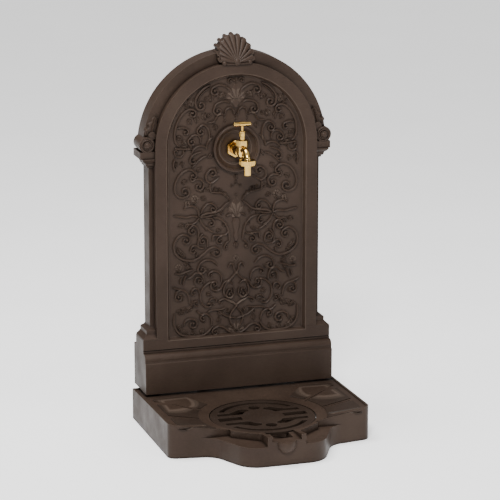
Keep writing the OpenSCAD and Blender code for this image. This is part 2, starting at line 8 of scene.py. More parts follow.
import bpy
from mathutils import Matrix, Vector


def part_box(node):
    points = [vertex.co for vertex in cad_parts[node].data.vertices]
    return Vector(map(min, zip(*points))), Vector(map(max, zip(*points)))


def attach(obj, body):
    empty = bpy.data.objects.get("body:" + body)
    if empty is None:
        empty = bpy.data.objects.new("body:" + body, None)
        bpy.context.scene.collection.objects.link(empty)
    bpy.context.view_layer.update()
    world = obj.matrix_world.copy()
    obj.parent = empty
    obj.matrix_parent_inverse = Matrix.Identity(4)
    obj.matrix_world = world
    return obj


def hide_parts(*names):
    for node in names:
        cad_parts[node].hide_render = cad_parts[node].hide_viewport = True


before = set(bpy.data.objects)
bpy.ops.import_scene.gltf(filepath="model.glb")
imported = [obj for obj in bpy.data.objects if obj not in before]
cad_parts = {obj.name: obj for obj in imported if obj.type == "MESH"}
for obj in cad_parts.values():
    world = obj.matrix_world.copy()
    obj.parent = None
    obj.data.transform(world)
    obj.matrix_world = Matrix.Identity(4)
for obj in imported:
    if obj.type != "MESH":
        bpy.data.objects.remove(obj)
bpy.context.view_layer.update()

import math

import bmesh
import bpy
import numpy as np
from mathutils import Vector
from mathutils.bvhtree import BVHTree

MM = 0.001
PANEL_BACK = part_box("back_panel")[1].y / MM
FLOOR_Y = PANEL_BACK - 46
FRAME_Y = PANEL_BACK - 54
PILASTER_Y = FRAME_Y + 17
RECESS_HALF = 138.7
RECESS_Z = 164
ARCH_Z = 537
RING_Z = ARCH_Z - 5
RING_R = 46


# ---- Camera, floor and light ----

CAMERA_PLACE = (-1.4357, -4.5283, 1.5681)
CAMERA_AIM = (0.02048, 0.110, 0.33618)
CAMERA_LENS = 188.66


def set_camera():
    data = bpy.data.cameras.new("camera")
    data.lens = CAMERA_LENS
    data.sensor_width = 36
    data.clip_end = 100
    camera = bpy.data.objects.new("camera", data)
    bpy.context.scene.collection.objects.link(camera)
    camera.location = CAMERA_PLACE
    aim = Vector(CAMERA_AIM) - camera.location
    camera.rotation_euler = aim.to_track_quat("-Z", "Y").to_euler()
    bpy.context.scene.camera = camera


def area_light(name, place, target, size, power):
    data = bpy.data.lights.new(name, "AREA")
    data.shape = "RECTANGLE"
    data.size = data.size_y = size
    data.energy = power
    lamp = bpy.data.objects.new(name, data)
    bpy.context.scene.collection.objects.link(lamp)
    lamp.location = place
    lamp.rotation_euler = (Vector(target) - Vector(place)).to_track_quat("-Z", "Y").to_euler()


def set_light():
    world = bpy.data.worlds.new("studio")
    bpy.context.scene.world = world
    world.use_nodes = True
    tree = world.node_tree
    place = tree.nodes.new("ShaderNodeTexCoord")
    split = tree.nodes.new("ShaderNodeSeparateXYZ")
    shade = tree.nodes.new("ShaderNodeValToRGB")
    low, high = shade.color_ramp.elements
    low.position, low.color = 0.2, (0.1, 0.097, 0.094, 1)
    high.position, high.color = 0.85, (1, 1, 1, 1)
    tree.links.new(place.outputs["Generated"], split.inputs[0])
    tree.links.new(split.outputs["Z"], shade.inputs["Fac"])
    sky = tree.nodes["Background"]
    tree.links.new(shade.outputs["Color"], sky.inputs["Color"])
    sky.inputs["Strength"].default_value = 0.75
    middle = (0, 0, 0.4)
    area_light("key_light", (-0.9, -2.0, 2.5), (0, 0.1, 0.62), 0.6, 95)
    area_light("fill_light", (2.4, -2.6, 1.5), middle, 1.4, 22)
    area_light("top_light", (-0.5, 0.3, 2.6), (0, 0.1, 0.6), 1.2, 62)


# ---- Node materials ----

class Nodes:
    """Short calls to build one material's nodes."""

    def __init__(self, name):
        self.material = bpy.data.materials.new(name)
        self.material.use_nodes = True
        self.tree = self.material.node_tree
        self.shader = self.tree.nodes["Principled BSDF"]
        self.place = self.add("ShaderNodeTexCoord").outputs["Object"]

    def add(self, kind, links=None, **settings):
        node = self.tree.nodes.new(kind)
        for key, value in settings.items():
            if key in node.inputs:
                node.inputs[key].default_value = value
            else:
                setattr(node, key, value)
        for key, source in (links or {}).items():
            self.link(source, node.inputs[key])
        return node

    def link(self, source, socket):
        self.tree.links.new(source, socket)

    def stretched(self, scale):
        return self.add("ShaderNodeMapping", {"Vector": self.place}, Scale=scale).outputs["Vector"]

    def noise(self, scale, detail=4.0, rough=0.55, place=None):
        return self.add("ShaderNodeTexNoise", {"Vector": place or self.place},
                        Scale=scale, Detail=detail, Roughness=rough).outputs["Fac"]

    def near(self, distance, inside):
        """How open the surface is within a distance: low in hollows, or at edges if measured inside."""
        node = self.add("ShaderNodeAmbientOcclusion", Distance=distance, inside=inside, samples=6)
        return node.outputs["AO"]

    def ramp(self, source, stops):
        node = self.add("ShaderNodeValToRGB", {"Fac": source})
        points = node.color_ramp.elements
        while len(points) < len(stops):
            points.new(0.5)
        for point, (place, colour) in zip(points, stops):
            point.position = place
            point.color = (*colour, 1) if isinstance(colour, tuple) else (colour, colour, colour, 1)
        return node.outputs["Color"]

    def mix(self, factor, first, second, blend="MIX"):
        node = self.add("ShaderNodeMix", data_type="RGBA", blend_type=blend)
        for socket, value in ((node.inputs[0], factor), (node.inputs[6], first), (node.inputs[7], second)):
            if isinstance(value, (int, float)):
                socket.default_value = value
            elif isinstance(value, tuple):
                socket.default_value = (*value, 1)
            else:
                self.link(value, socket)
        return node.outputs[2]

    def bump(self, height, strength, distance, under=None):
        links = {"Height": height}
        if under is not None:
            links["Normal"] = under
        return self.add("ShaderNodeBump", links, Strength=strength, Distance=distance).outputs["Normal"]


def cast_metal(name, low, high, edge, rough):
    """Painted cast metal: a fine sand-cast skin, faint brushing, lighter edges (edge wear plus a painted
    highlight) and painted shade darkening the hollows.
    """
    n = Nodes(name)
    cloudy = n.noise(9, 5)
    patch = n.ramp(cloudy, [(0.32, low), (0.68, high)])
    brushed = n.noise(160, 3, place=n.stretched((1.0, 1.0, 9.0)))
    fleck = n.ramp(brushed, [(0.3, 0.86), (0.7, 1.1)])
    colour = n.mix(1.0, patch, fleck, "MULTIPLY")
    # Lighter colour at the edges: edge wear together with a painted highlight.
    edge_wear_and_highlight = n.ramp(n.near(0.0007, True), [(0.4, 0.4), (0.9, 0.0)])
    colour = n.mix(edge_wear_and_highlight, colour, edge)
    # Painted shade: the colour is darkened in hollows and crevices, where shade falls.
    hollow = n.ramp(n.near(0.007, False), [(0.35, 0.3), (0.95, 1.0)])
    colour = n.mix(1.0, colour, hollow, "MULTIPLY")
    n.link(colour, n.shader.inputs["Base Color"])
    n.link(n.ramp(n.noise(26, 4), [(0.3, rough - 0.06), (0.7, rough + 0.1)]), n.shader.inputs["Roughness"])
    sand = n.noise(1500, 3, 0.6)
    waves = n.noise(70, 3)
    skin = n.bump(waves, 0.22, 0.0006)
    n.link(n.bump(sand, 0.28, 0.00025, skin), n.shader.inputs["Normal"])
    n.shader.inputs["Metallic"].default_value = 0.0
    n.shader.inputs["Specular IOR Level"].default_value = 0.12
    return n.material


def polished_brass(name):
    n = Nodes(name)
    tone = n.ramp(n.noise(60, 4), [(0.3, (0.62, 0.38, 0.10)), (0.7, (0.78, 0.52, 0.17))])
    # Painted shade: the brass colour is darkened in hollows, where shade falls.
    hollow = n.ramp(n.near(0.004, False), [(0.3, (0.4, 0.24, 0.1)), (0.8, (1, 1, 1))])
    n.link(n.mix(1.0, tone, hollow, "MULTIPLY"), n.shader.inputs["Base Color"])
    n.link(n.ramp(n.noise(220, 3), [(0.3, 0.11), (0.75, 0.24)]), n.shader.inputs["Roughness"])
    lathe = n.noise(900, 2, place=n.stretched((0.3, 0.3, 3.0)))
    n.link(n.bump(lathe, 0.12, 0.0001), n.shader.inputs["Normal"])
    n.shader.inputs["Metallic"].default_value = 1.0
    return n.material


def plain_metal(name, dark, light, rough):
    n = Nodes(name)
    n.link(n.ramp(n.noise(90, 4), [(0.3, dark), (0.7, light)]), n.shader.inputs["Base Color"])
    n.link(n.ramp(n.noise(300, 3), [(0.3, rough - 0.08), (0.7, rough + 0.1)]), n.shader.inputs["Roughness"])
    n.link(n.bump(n.noise(1200, 2), 0.2, 0.0001), n.shader.inputs["Normal"])
    n.shader.inputs["Metallic"].default_value = 0.95
    return n.material


def soft_seal(name, dark, light):
    n = Nodes(name)
    n.link(n.ramp(n.noise(400, 4), [(0.3, dark), (0.7, light)]), n.shader.inputs["Base Color"])
    n.link(n.ramp(n.noise(800, 3), [(0.3, 0.55), (0.7, 0.8)]), n.shader.inputs["Roughness"])
    n.link(n.bump(n.noise(2200, 3), 0.3, 0.0001), n.shader.inputs["Normal"])
    return n.material


def pale_floor():
    n = Nodes("floor")
    n.link(n.ramp(n.noise(3, 3), [(0.3, 0.86), (0.7, 0.9)]), n.shader.inputs["Base Color"])
    n.shader.inputs["Roughness"].default_value = 0.7
    n.shader.inputs["Emission Color"].default_value = (1, 1, 1, 1)
    n.shader.inputs["Emission Strength"].default_value = 0.7
    n.shader.inputs["Specular IOR Level"].default_value = 0.1
    return n.material


# The third colour is the lighter edge colour: edge wear together with a painted highlight.
BRONZE = cast_metal("cast_bronze", (0.030, 0.0185, 0.0130), (0.045, 0.029, 0.0210),
                    (0.12, 0.088, 0.068), 0.42)
DARK = cast_metal("dark_cast", (0.020, 0.0128, 0.0092), (0.032, 0.0212, 0.0156),
                  (0.08, 0.058, 0.044), 0.44)
BRASS = polished_brass("brass")
STEEL = plain_metal("zinc_steel", (0.42, 0.43, 0.44), (0.62, 0.62, 0.62), 0.36)
RUBBER = soft_seal("rubber", (0.018, 0.018, 0.019), (0.035, 0.035, 0.036))
FIBRE = soft_seal("red_fibre", (0.24, 0.055, 0.035), (0.36, 0.1, 0.065))
FINISH = {"cast_bronze": BRONZE, "dark_cast": DARK, "brass": BRASS, "zinc_steel": STEEL,
          "rubber": RUBBER, "red_fibre": FIBRE}


# ---- Mesh building ----

def loft(rings, cap=True):
    """A closed skin through rings that each have the same number of points."""
    count = len(rings[0])
    points = [tuple(p) for ring in rings for p in ring]
    faces = []
    for i in range(len(rings) - 1):
        for j in range(count):
            k = (j + 1) % count
            faces.append((i * count + j, i * count + k, (i + 1) * count + k, (i + 1) * count + j))
    if cap:
        faces.append(tuple(range(count))[::-1])
        last = (len(rings) - 1) * count
        faces.append(tuple(range(last, last + count)))
    return points, faces


def revolve(profile, centre, axis="Z", count=48, hollow=False):
    """Turns [radius, height] round a line through centre, along axis Z or Y. The profile starts and ends at
    radius 0, unless hollow joins its end to its start."""
    profile = profile + profile[:1] if hollow else profile
    rings = []
    for radius, height in profile:
        ring = []
        for k in range(count):
            a = 2 * math.pi * k / count
            u, v = max(radius, 0.01) * math.cos(a), max(radius, 0.01) * math.sin(a)
            offset = (u, height, v) if axis == "Y" else (u, v, height)
            ring.append(tuple(c + o for c, o in zip(centre, offset)))
        rings.append(ring)
    return loft(rings, not hollow)


def mirrored(shell):
    points, faces = shell
    return [(-x, y, z) for x, y, z in points], [f[::-1] for f in faces]


def piece(name, shells, replaced, body, slot, smooth_angle=40):
    """One object made from closed shells, in the finish of its material slot."""
    points, faces = [], []
    for shell_points, shell_faces in shells:
        start = len(points)
        points += [Vector(p) * MM for p in shell_points]
        faces += [tuple(i + start for i in f) for f in shell_faces]
    mesh = bpy.data.meshes.new(name)
    mesh.from_pydata(points, [], faces)
    work = bmesh.new()
    work.from_mesh(mesh)
    bmesh.ops.remove_doubles(work, verts=work.verts, dist=1e-7)
    bmesh.ops.recalc_face_normals(work, faces=work.faces)
    work.to_mesh(mesh)
    work.free()
    mesh.shade_smooth()
    mesh.set_sharp_from_angle(angle=math.radians(smooth_angle))
    mesh.materials.append(FINISH[slot])
    ob = bpy.data.objects.new(name, mesh)
    bpy.context.scene.collection.objects.link(ob)
    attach(ob, body)
    if replaced:
        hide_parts(*replaced)
    return ob


def smooth_path(points, step=1.4):
    """Evenly spaced points along a smooth curve through the given ones."""
    given = np.array(points, float)
    ends = np.vstack([2 * given[0] - given[1], given, 2 * given[-1] - given[-2]])
    dense = []
    for a, b, c, d in zip(ends, ends[1:], ends[2:], ends[3:]):
        for t in np.arange(12) / 12:
            dense.append(0.5 * (2 * b + (c - a) * t + (2 * a - 5 * b + 4 * c - d) * t ** 2
                                + (3 * b - a - 3 * c + d) * t ** 3))
    dense = np.array(dense + [given[-1]])
    length = np.concatenate([[0], np.cumsum(np.linalg.norm(np.diff(dense, axis=0), axis=1))])
    at = np.linspace(0, length[-1], max(4, int(length[-1] / step) + 1))
    return np.stack([np.interp(at, length, dense[:, k]) for k in range(given.shape[1])], axis=1)


def with_curl(path, radius, degrees, step=1.4):
    """The path with a spiral added at its end. Positive degrees turn to the left."""
    heading = math.atan2(*(path[-1] - path[-2])[::-1])
    turn = math.radians(degrees)
    steps = max(12, int(abs(turn) * radius * 0.6 / step))
    point, more = path[-1], []
    for i in range(steps):
        tight = radius * (1 - 0.8 * i / steps)
        heading += turn / steps
        point = point + tight * abs(turn) / steps * np.array([math.cos(heading), math.sin(heading)])
        more.append(point)
    return np.vstack([path, more])


def bar_rings(path, radii, count=24):
    """Rings of a round bar along a 3-D path."""
    path = np.array(path, float)
    tangents = np.gradient(path, axis=0)
    tangents /= np.linalg.norm(tangents, axis=1)[:, None]
    side = np.cross(tangents[0], (1.0, 0.0, 0.0))
    if np.linalg.norm(side) < 0.1:
        side = np.cross(tangents[0], (0.0, 0.0, 1.0))
    rings = []
    for point, tangent, radius in zip(path, tangents, radii):
        side = side - tangent * np.dot(side, tangent)
        side /= np.linalg.norm(side)
        other = np.cross(tangent, side)
        angles = 2 * np.pi * np.arange(count) / count
        rings.append([tuple(point + radius * (math.cos(a) * side + math.sin(a) * other)) for a in angles])
    return rings


# ---- Ornament ----

SUNK = 0.5
BOLD = 1.45
STROKE_HEIGHT = 3.9
LEAF_HEIGHT = 3.8
BEAD_HEIGHT = 2.4
DOMED = [(-1, None), (-0.94, 0.34), (-0.62, 0.8), (0, 1), (0.62, 0.8), (0.94, 0.34), (1, None)]
LEAF_SECTION = [(-1, None), (-0.96, 0.3), (-0.6, 0.62), (-0.22, 0.48), (0, 1), (0.22, 0.48), (0.6, 0.62),
                (0.96, 0.3), (1, None)]


def on_ground(path, halves, heights, section, ground):
    """A closed ridge that stands on an upright ground and follows an x, z path. The ground is one y, or a
    function of z."""
    path = np.array(path, float)
    tangents = np.gradient(path, axis=0)
    tangents /= np.maximum(np.linalg.norm(tangents, axis=1), 1e-6)[:, None]
    rings = []
    for (x, z), (tx, tz), half, height in zip(path, tangents, halves, heights):
        ring = []
        level = ground(z) if callable(ground) else ground
        for across, up in section:
            rise = -SUNK if up is None else up * height
            ring.append((x - tz * across * half, level - rise, z + tx * across * half))
        rings.append(ring)
    return loft(rings)


def dome(x, z, radius, height, ground):
    profile = [(0, SUNK), (radius, SUNK)]
    profile += [(radius * math.cos(a), -height * math.sin(a)) for a in np.linspace(0.15, 1.5, 5)]
    return revolve(profile + [(0, -height)], (x, ground, z), "Y", 16)


def stroke(points, width, end=None, start=None):
    """Shells of one scroll stem, with a spiral and a small ball at each end that is given one."""
    width *= BOLD
    path = smooth_path(points)
    if start:
        path = with_curl(path[::-1], *start)[::-1]
    if end:
        path = with_curl(path, *end)
    along = np.linspace(0, 1, len(path))
    thin_end = np.clip((1 - along) / 0.3, 0, 1) if end else np.clip((1 - along) / 0.12, 0, 1)
    thin_start = np.clip(along / 0.3, 0, 1) if start else np.clip(along / 0.12, 0, 1)
    full = np.sqrt(np.minimum(thin_end, thin_start))
    halves = width / 2 * (0.42 + 0.58 * full)
    shells = [on_ground(path, halves, STROKE_HEIGHT * (0.62 + 0.38 * full), DOMED, FLOOR_Y)]
    for given, tip in ((end, path[-1]), (start, path[0])):
        if given:
            shells.append(dome(tip[0], tip[1], width * 0.62, STROKE_HEIGHT * 1.15, FLOOR_Y))
    return shells


def leaf(x, z, angle, length, width, bend=0.0, lobes=3, height=LEAF_HEIGHT, ground=FLOOR_Y):
    """One pointed leaf with a midrib and a lobed edge. bend turns its tip, in degrees."""
    width *= BOLD
    count = max(10, int(length / 1.1))
    heading, point, path = math.radians(angle), np.array([x, z], float), []
    for _ in range(count):
        path.append(point)
        point = point + length / count * np.array([math.cos(heading), math.sin(heading)])
        heading += math.radians(bend) / count
    along = np.linspace(0, 1, count)
    outline = np.sin(np.pi * np.clip(along, 0, 1) ** 0.75) ** 0.8
    lobed = 1 + 0.2 * np.cos(2 * np.pi * (lobes * along - 0.25))
    halves = width / 2 * np.maximum(outline * lobed, 0.09)
    heights = height * (0.5 + 0.5 * np.sin(np.pi * np.clip(along + 0.12, 0, 1)))
    return [on_ground(path, halves, heights, LEAF_SECTION, ground)]


def rosette(x, z, radius, petals=7):
    shells = [dome(x, z, radius * 0.36, 3.0, FLOOR_Y)]
    for k in range(petals):
        a = 360 * k / petals + 90
        root_x = x + radius * 0.2 * math.cos(math.radians(a))
        root_z = z + radius * 0.2 * math.sin(math.radians(a))
        shells += leaf(root_x, root_z, a, radius * 0.85, radius * 0.7, lobes=1, height=2.2)
    return shells


def fan(x, z, angles, lengths):
    """Leaves that spread from one point, bending outward."""
    shells = []
    for angle, length in zip(angles, lengths):
        shells += leaf(x, z, angle, length, length * 0.3, (angle - 90) * 0.35, 2, 2.6)
    return shells


# Each stem of the right half: its x, z points, then width, end curl and start curl (radius, degrees)
UPPER_STEMS = [
    ([(6, 634), (11, 645), (20, 652), (32, 656), (44, 652)], 3.6, (9, -400), None),
    ([(50, 657), (62, 651), (73, 641), (80, 628), (79, 617)], 3.8, (10, -420), None),
    ([(52, 652), (62, 646), (71, 637), (76, 627)], 2.0, None, None),
    ([(12, 619), (20, 624), (30, 623), (40, 618), (44, 609)], 3.4, (9, -400), None),
    ([(84, 611), (93, 612), (105, 604), (114, 591), (120, 575), (121, 558), (117, 546), (110, 540)],
     3.8, None, (8, 380)),
    ([(116, 577), (106, 578), (97, 575)], 3.0, (6.5, 330), None),
    ([(54, 545), (52, 556), (54, 570), (60, 579), (68, 580), (75, 574)], 3.4, (8, -420), None),
    ([(70, 546), (71, 556), (77, 562), (86, 561), (93, 555)], 3.2, (8, -400), None),
    ([(46, 556), (52, 552), (57, 543), (59, 533)], 3.2, None, None),
    ([(58, 536), (66, 540), (76, 540), (84, 535), (88, 528)], 3.2, None, None),
    ([(68, 530), (78, 527), (86, 523), (91, 516)], 3.0, (7, -330), None),
    ([(57, 521), (66, 518), (75, 512), (82, 505), (88, 500)], 3.0, None, None),
    ([(86, 536), (98, 536), (110, 537), (122, 538)], 3.2, None, None),
    ([(105, 536), (104, 528), (110, 522), (118, 523), (122, 529)], 3.0, (5, 200), None),
    ([(121, 519), (124, 508), (122, 494)], 3.0, None, None),
    ([(3, 596), (5, 605), (12, 611), (20, 607), (22, 598)], 2.8, None, None),
    ([(24, 596), (28, 600), (36, 598), (41, 590), (45, 585), (56, 584)], 2.8, None, None),
    ([(4, 662), (9, 668), (14, 666)], 2.6, (4, -300), None),
]
MIDDLE_STEMS = [
    ([(80, 488), (88, 495), (99, 495), (111, 487), (119, 474), (122, 460), (118, 448), (109, 442),
      (100, 443)], 3.8, (10, -400), (7, 330)),
    ([(92, 482), (88, 473), (80, 476), (71, 475), (64, 468), (66, 459)], 3.4, (8, 360), None),
    ([(33, 478), (41, 472), (50, 467), (58, 472), (60, 482), (54, 491)], 3.4, (9, 420), None),
    ([(51, 467), (52, 458), (50, 449)], 3.2, None, None),
    ([(12, 430), (18, 439), (28, 446), (40, 448), (50, 449)], 3.2, None, None),
    ([(13, 429), (22, 422), (32, 413), (48, 409), (60, 408), (72, 403)], 4.0, None, None),
    ([(8, 405), (20, 400)], 3.0, None, None),
    ([(71, 408), (66, 418), (58, 426), (48, 427), (41, 421)], 3.2, (7, 380), None),
    ([(46, 405), (58, 402), (72, 402)], 3.2, None, None),
    ([(74, 402), (86, 405), (98, 403), (110, 405), (124, 408)], 3.2, None, None),
    ([(74, 402), (75, 413), (80, 421), (90, 425), (99, 424), (104, 419)], 3.2, None, None),
    ([(74, 401), (80, 393), (88, 389), (98, 390)], 3.0, None, None),
    ([(46, 399), (34, 397), (24, 389), (17, 377), (14, 362), (13, 350)], 3.4, None, None),
    ([(73, 400), (69, 390), (61, 381), (52, 374), (44, 370)], 3.4, None, None),
    ([(62, 398), (56, 399), (48, 397), (44, 390)], 3.0, (6, 330), None),
    ([(14, 371), (22, 364), (30, 363), (37, 358)], 3.0, (7, -400), None),
    ([(27, 362), (38, 364), (46, 363), (47, 352)], 3.0, None, None),
    ([(76, 360), (75, 372), (78, 382), (86, 387), (93, 381)], 3.4, (8, -400), None),
    ([(58, 342), (57, 351), (60, 360), (67, 363), (72, 358)], 3.2, (6, -360), None),
    ([(66, 370), (73, 362), (76, 352), (76, 342)], 3.0, None, None),
]
LOWER_STEMS = [
    ([(96, 366), (106, 370), (117, 364), (124, 351), (122, 336), (113, 325), (101, 319), (87, 317),
      (75, 322), (64, 330), (54, 338), (43, 341), (35, 337)], 3.8, (9, 400), (9, 420)),
    ([(62, 341), (72, 341), (80, 346), (87, 346), (91, 340)], 3.0, (6, -360), None),
    ([(78, 332), (80, 324)], 2.8, None, None),
    ([(37, 304), (46, 313), (58, 317), (70, 312), (76, 303)], 3.4, (9, -420), None),
    ([(86, 300), (98, 297), (110, 293), (122, 294)], 3.0, None, None),
    ([(30, 270), (29, 281), (35, 290), (46, 294), (54, 290)], 3.4, (5, -300), None),
    ([(6, 264), (12, 270), (20, 272), (26, 267), (31, 258), (40, 254), (49, 258), (51, 266)],
     3.4, (7, 400), None),
    ([(44, 270), (52, 272), (62, 266), (70, 256), (72, 244), (69, 232), (62, 224), (55, 223)],
     3.4, (5, -250), None),
    ([(64, 268), (66, 282), (72, 291), (82, 292), (90, 285), (99, 282)], 3.4, None, None),
    ([(82, 268), (83, 278), (78, 284), (71, 282)], 3.0, (6, 360), None),
    ([(100, 290), (104, 281), (107, 270)], 3.0, None, None),
    ([(110, 286), (113, 273)], 2.8, None, None),
    ([(74, 250), (76, 259), (83, 262), (89, 257)], 3.0, (5.5, -330), None),
    ([(94, 234), (95, 246), (100, 256), (110, 261), (119, 257), (122, 249)], 3.4, (8, -400), None),
    ([(112, 262), (120, 264), (128, 268)], 2.8, None, None),
    ([(6, 258), (4, 248), (8, 240), (15, 238), (20, 244), (17, 253)], 2.8, (5, 200), None),
    ([(-16, 298), (-12, 306), (-6, 303), (-4, 294), (3, 284), (12, 275), (20, 268), (25, 256), (24, 246),
      (17, 239)], 3.6, (7, -330), None),
    ([(0, 224), (5, 227), (15, 233), (24, 237), (33, 234)], 3.2, (4, -250), None),
    ([(-24, 237), (-14, 232), (-4, 226), (4, 216), (11, 206), (13, 196), (9, 184), (5, 175)],
     3.2, None, None),
    ([(0, 196), (10, 199), (22, 203), (31, 209), (37, 215)], 3.2, None, None),
    ([(22, 219), (32, 216), (50, 216), (58, 212)], 3.0, None, None),
    ([(80, 218), (73, 211), (66, 208)], 2.8, None, None),
    ([(40, 231), (42, 238), (50, 239), (55, 234)], 2.4, None, None),
    ([(76, 226), (82, 227), (85, 232)], 2.6, (4.5, 330), None),
    ([(50, 186), (50, 197), (55, 206), (63, 210), (70, 206)], 3.2, (6, -360), None),
    ([(48, 184), (55, 175), (66, 168), (82, 167), (99, 168), (112, 173), (121, 183), (125, 197),
      (124, 215)], 3.8, None, None),
    ([(105, 188), (103, 197), (95, 202), (86, 201)], 3.4, (10, 420), None),
    ([(0, 168), (9, 168), (18, 173), (26, 180), (36, 183), (46, 178)], 3.4, (7, -400), None),
]
# Leaves of the right half: x, z, angle, length, width, bend
UPPER_LEAVES = [
    (86, 616, 70, 20, 8, -20), (88, 618, 100, 18, 7, 24), (92, 613, 35, 15, 6, 20),
    (80, 600, 250, 18, 7, 30), (66, 592, 110, 15, 7, 20), (60, 590, 60, 15, 6, -20),
    (50, 601, 310, 12, 6, 30), (42, 580, 250, 13, 7, 40), (110, 541, 200, 14, 6, -40),
    (102, 545, 60, 12, 6, 20), (118, 560, 200, 15, 7, -30), (96, 592, 215, 14, 7, 30),
    (108, 512, 250, 13, 6, 20), (117, 512, 290, 13, 6, -20), (88, 536, 40, 12, 6, 20),
    (98, 536, 320, 11, 5, -20), (98, 536, 40, 11, 5, 20), (50, 640, 250, 18, 8, 40),
    (30, 642, 300, 16, 8, -30), (20, 634, 20, 18, 8, -30), (62, 632, 200, 16, 7, 20),
    (47, 525, 300, 15, 7, 30),
]
MIDDLE_LEAVES = [
    (20, 440, 60, 12, 6, -20), (30, 447, 70, 12, 6, -20), (40, 449, 80, 12, 6, -20),
    (93, 423, 60, 16, 8, 20), (99, 424, 100, 15, 7, 30), (84, 428, 120, 13, 6, 20),
    (95, 392, 290, 15, 7, 20), (104, 390, 330, 14, 7, 30), (88, 389, 260, 13, 6, 20),
    (30, 413, 250, 13, 6, 30), (45, 409, 240, 12, 6, 20), (52, 452, 40, 14, 7, -30),
    (64, 452, 20, 14, 6, -20), (70, 440, 200, 14, 6, 20), (76, 490, 120, 14, 7, 30),
    (36, 486, 60, 14, 7, 20), (28, 386, 200, 13, 6, -20), (40, 372, 160, 13, 6, 20),
    (60, 384, 260, 12, 6, 30), (108, 470, 150, 14, 7, 30),
]
LOWER_LEAVES = [
    (105, 330, 35, 15, 7, 20), (112, 334, 60, 14, 7, 20), (100, 326, 10, 14, 6, 20),
    (95, 310, 40, 16, 7, -20), (90, 306, 350, 15, 7, -20), (116, 296, 100, 12, 6, 20),
    (100, 298, 250, 12, 6, -20), (86, 226, 350, 16, 7, -10), (90, 224, 320, 15, 7, -10),
    (98, 221, 10, 15, 7, -10), (104, 218, 330, 14, 6, 10), (110, 217, 20, 13, 6, -20),
    (84, 230, 25, 15, 7, 10), (106, 172, 60, 13, 7, 20), (112, 176, 100, 13, 7, 20),
    (118, 184, 130, 13, 7, 20), (98, 170, 40, 12, 6, 20), (70, 170, 100, 14, 7, 20),
    (84, 169, 70, 14, 7, -20), (60, 250, 200, 13, 7, 20), (38, 262, 280, 13, 6, 20),
    (66, 294, 150, 14, 7, 20), (52, 330, 200, 14, 7, 30), (26, 212, 330, 15, 7, 20),
    (14, 208, 60, 12, 6, 20), (34, 190, 80, 14, 7, 20), (64, 192, 60, 13, 6, 20),
    (108, 240, 100, 13, 6, -30),
]


def add_ornament(name, stems, leaves, more_side=(), more_middle=()):
    """One region of the relief: the right half, its mirror image, and the pieces on the middle line."""
    side = list(more_side)
    for points, width, end, start in stems:
        side += stroke(points, width, end, start)
    for x, z, angle, length, width, bend in leaves:
        side += leaf(x, z, angle, length, width, bend)
    shells = side + [mirrored(s) for s in side] + list(more_middle)
    piece(name, shells, (), "fountain", "cast_bronze", 50)


def bead(x, z, radius):
    return dome(x, z, radius, BEAD_HEIGHT, FLOOR_Y)


def add_relief():
    top_side = rosette(102, 549, 5.5) + [bead(22.5, z, 1.7) for z in (598, 592, 586)]
    top_side += [bead(64, 611, 3), bead(30, 638, 2.4)]
    top_middle = fan(0, 622, (90, 68, 112, 46, 134, 26, 154), (40, 36, 36, 30, 30, 24, 24))
    top_middle += [on_ground(smooth_path([(0, 611), (0, 627)]), np.linspace(4, 12, 12), [3.0] * 12,
                             DOMED, FLOOR_Y)]
    top_middle += leaf(0, 658, 90, 14, 7) + [bead(0, z, 1.7) for z in (598, 592, 586)]
    add_ornament("relief_upper", UPPER_STEMS, UPPER_LEAVES, top_side, top_middle)
    low_side = rosette(82, 438, 9) + rosette(8, 459, 3.6, 5)
    low_side += stroke([(14, 352), (20, 347), (24, 341)], 3.0, (4, -300))
    baluster = [(6, 395), (9, 388), (7, 378), (4, 368), (6, 360), (3, 352)]
    path = smooth_path([(0, 396), (0, 351)])
    drops = [b[1] for b in baluster][::-1]
    widths = np.interp(path[:, 1], drops, [b[0] for b in baluster][::-1])
    low_middle = [on_ground(path, widths, [3.2] * len(path), DOMED, FLOOR_Y)]
    low_middle += fan(0, 396, (90, 74, 106, 58, 122), (45, 38, 38, 30, 30)) + rosette(0, 464, 4, 6)
    low_middle += leaf(0, 481, 270, 14, 6) + leaf(0, 349, 270, 16, 7) + [bead(0, 442, 2.4)]
    add_ornament("relief_middle", MIDDLE_STEMS, MIDDLE_LEAVES, low_side, low_middle)
    foot_side = rosette(115, 306, 8) + rosette(47, 228, 4.6, 6)
    foot_middle = rosette(0, 316, 7) + fan(0, 170, (90, 64, 116, 40, 140, 18, 162), (24,) * 7)
    add_ornament("relief_lower", LOWER_STEMS, LOWER_LEAVES, foot_side, foot_middle)


# ---- Crest, volutes and ring ----

CREST_Z = 699
CREST_FACE_Z = 689
CREST_SLOPE = math.tan(math.radians(38))
CREST_REACH = 47
CREST_RIBS = 11
CREST_SPREAD = 80
VOLUTE_X = 175.5
VOLUTE_Z = 548
VOLUTE_Y = 132


def crest_face(z):
    return FRAME_Y - 10 + (z - CREST_FACE_Z) * CREST_SLOPE


def add_crest():
    """The ribs of the scallop shell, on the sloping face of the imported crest."""
    shells = []
    for a in np.radians(np.linspace(-CREST_SPREAD, CREST_SPREAD, CREST_RIBS)):
        reach = CREST_REACH * (1 - 0.36 * (abs(math.degrees(a)) / 90) ** 1.4)
        along = np.linspace(0, 1, 22)
        far = 4 + (reach - 4) * along
        path = np.stack([np.sin(a) * far, CREST_Z + np.cos(a) * far], axis=1)
        halves = 1.6 + 4.9 * along ** 0.95
        heights = 2.2 + 3.0 * np.sin(np.pi * np.clip(0.1 + 0.8 * along, 0, 1))
        shells.append(on_ground(path, halves, heights, DOMED, crest_face))
    shells.append(dome(0, CREST_Z, 6.5, 5, crest_face(CREST_Z)))
    for side in (-1, 1):
        shells.append(dome(side * 25, CREST_Z - 1, 4.6, 4.5, crest_face(CREST_Z)))
    piece("crest_ribs", shells, (), "fountain", "cast_bronze", 60)


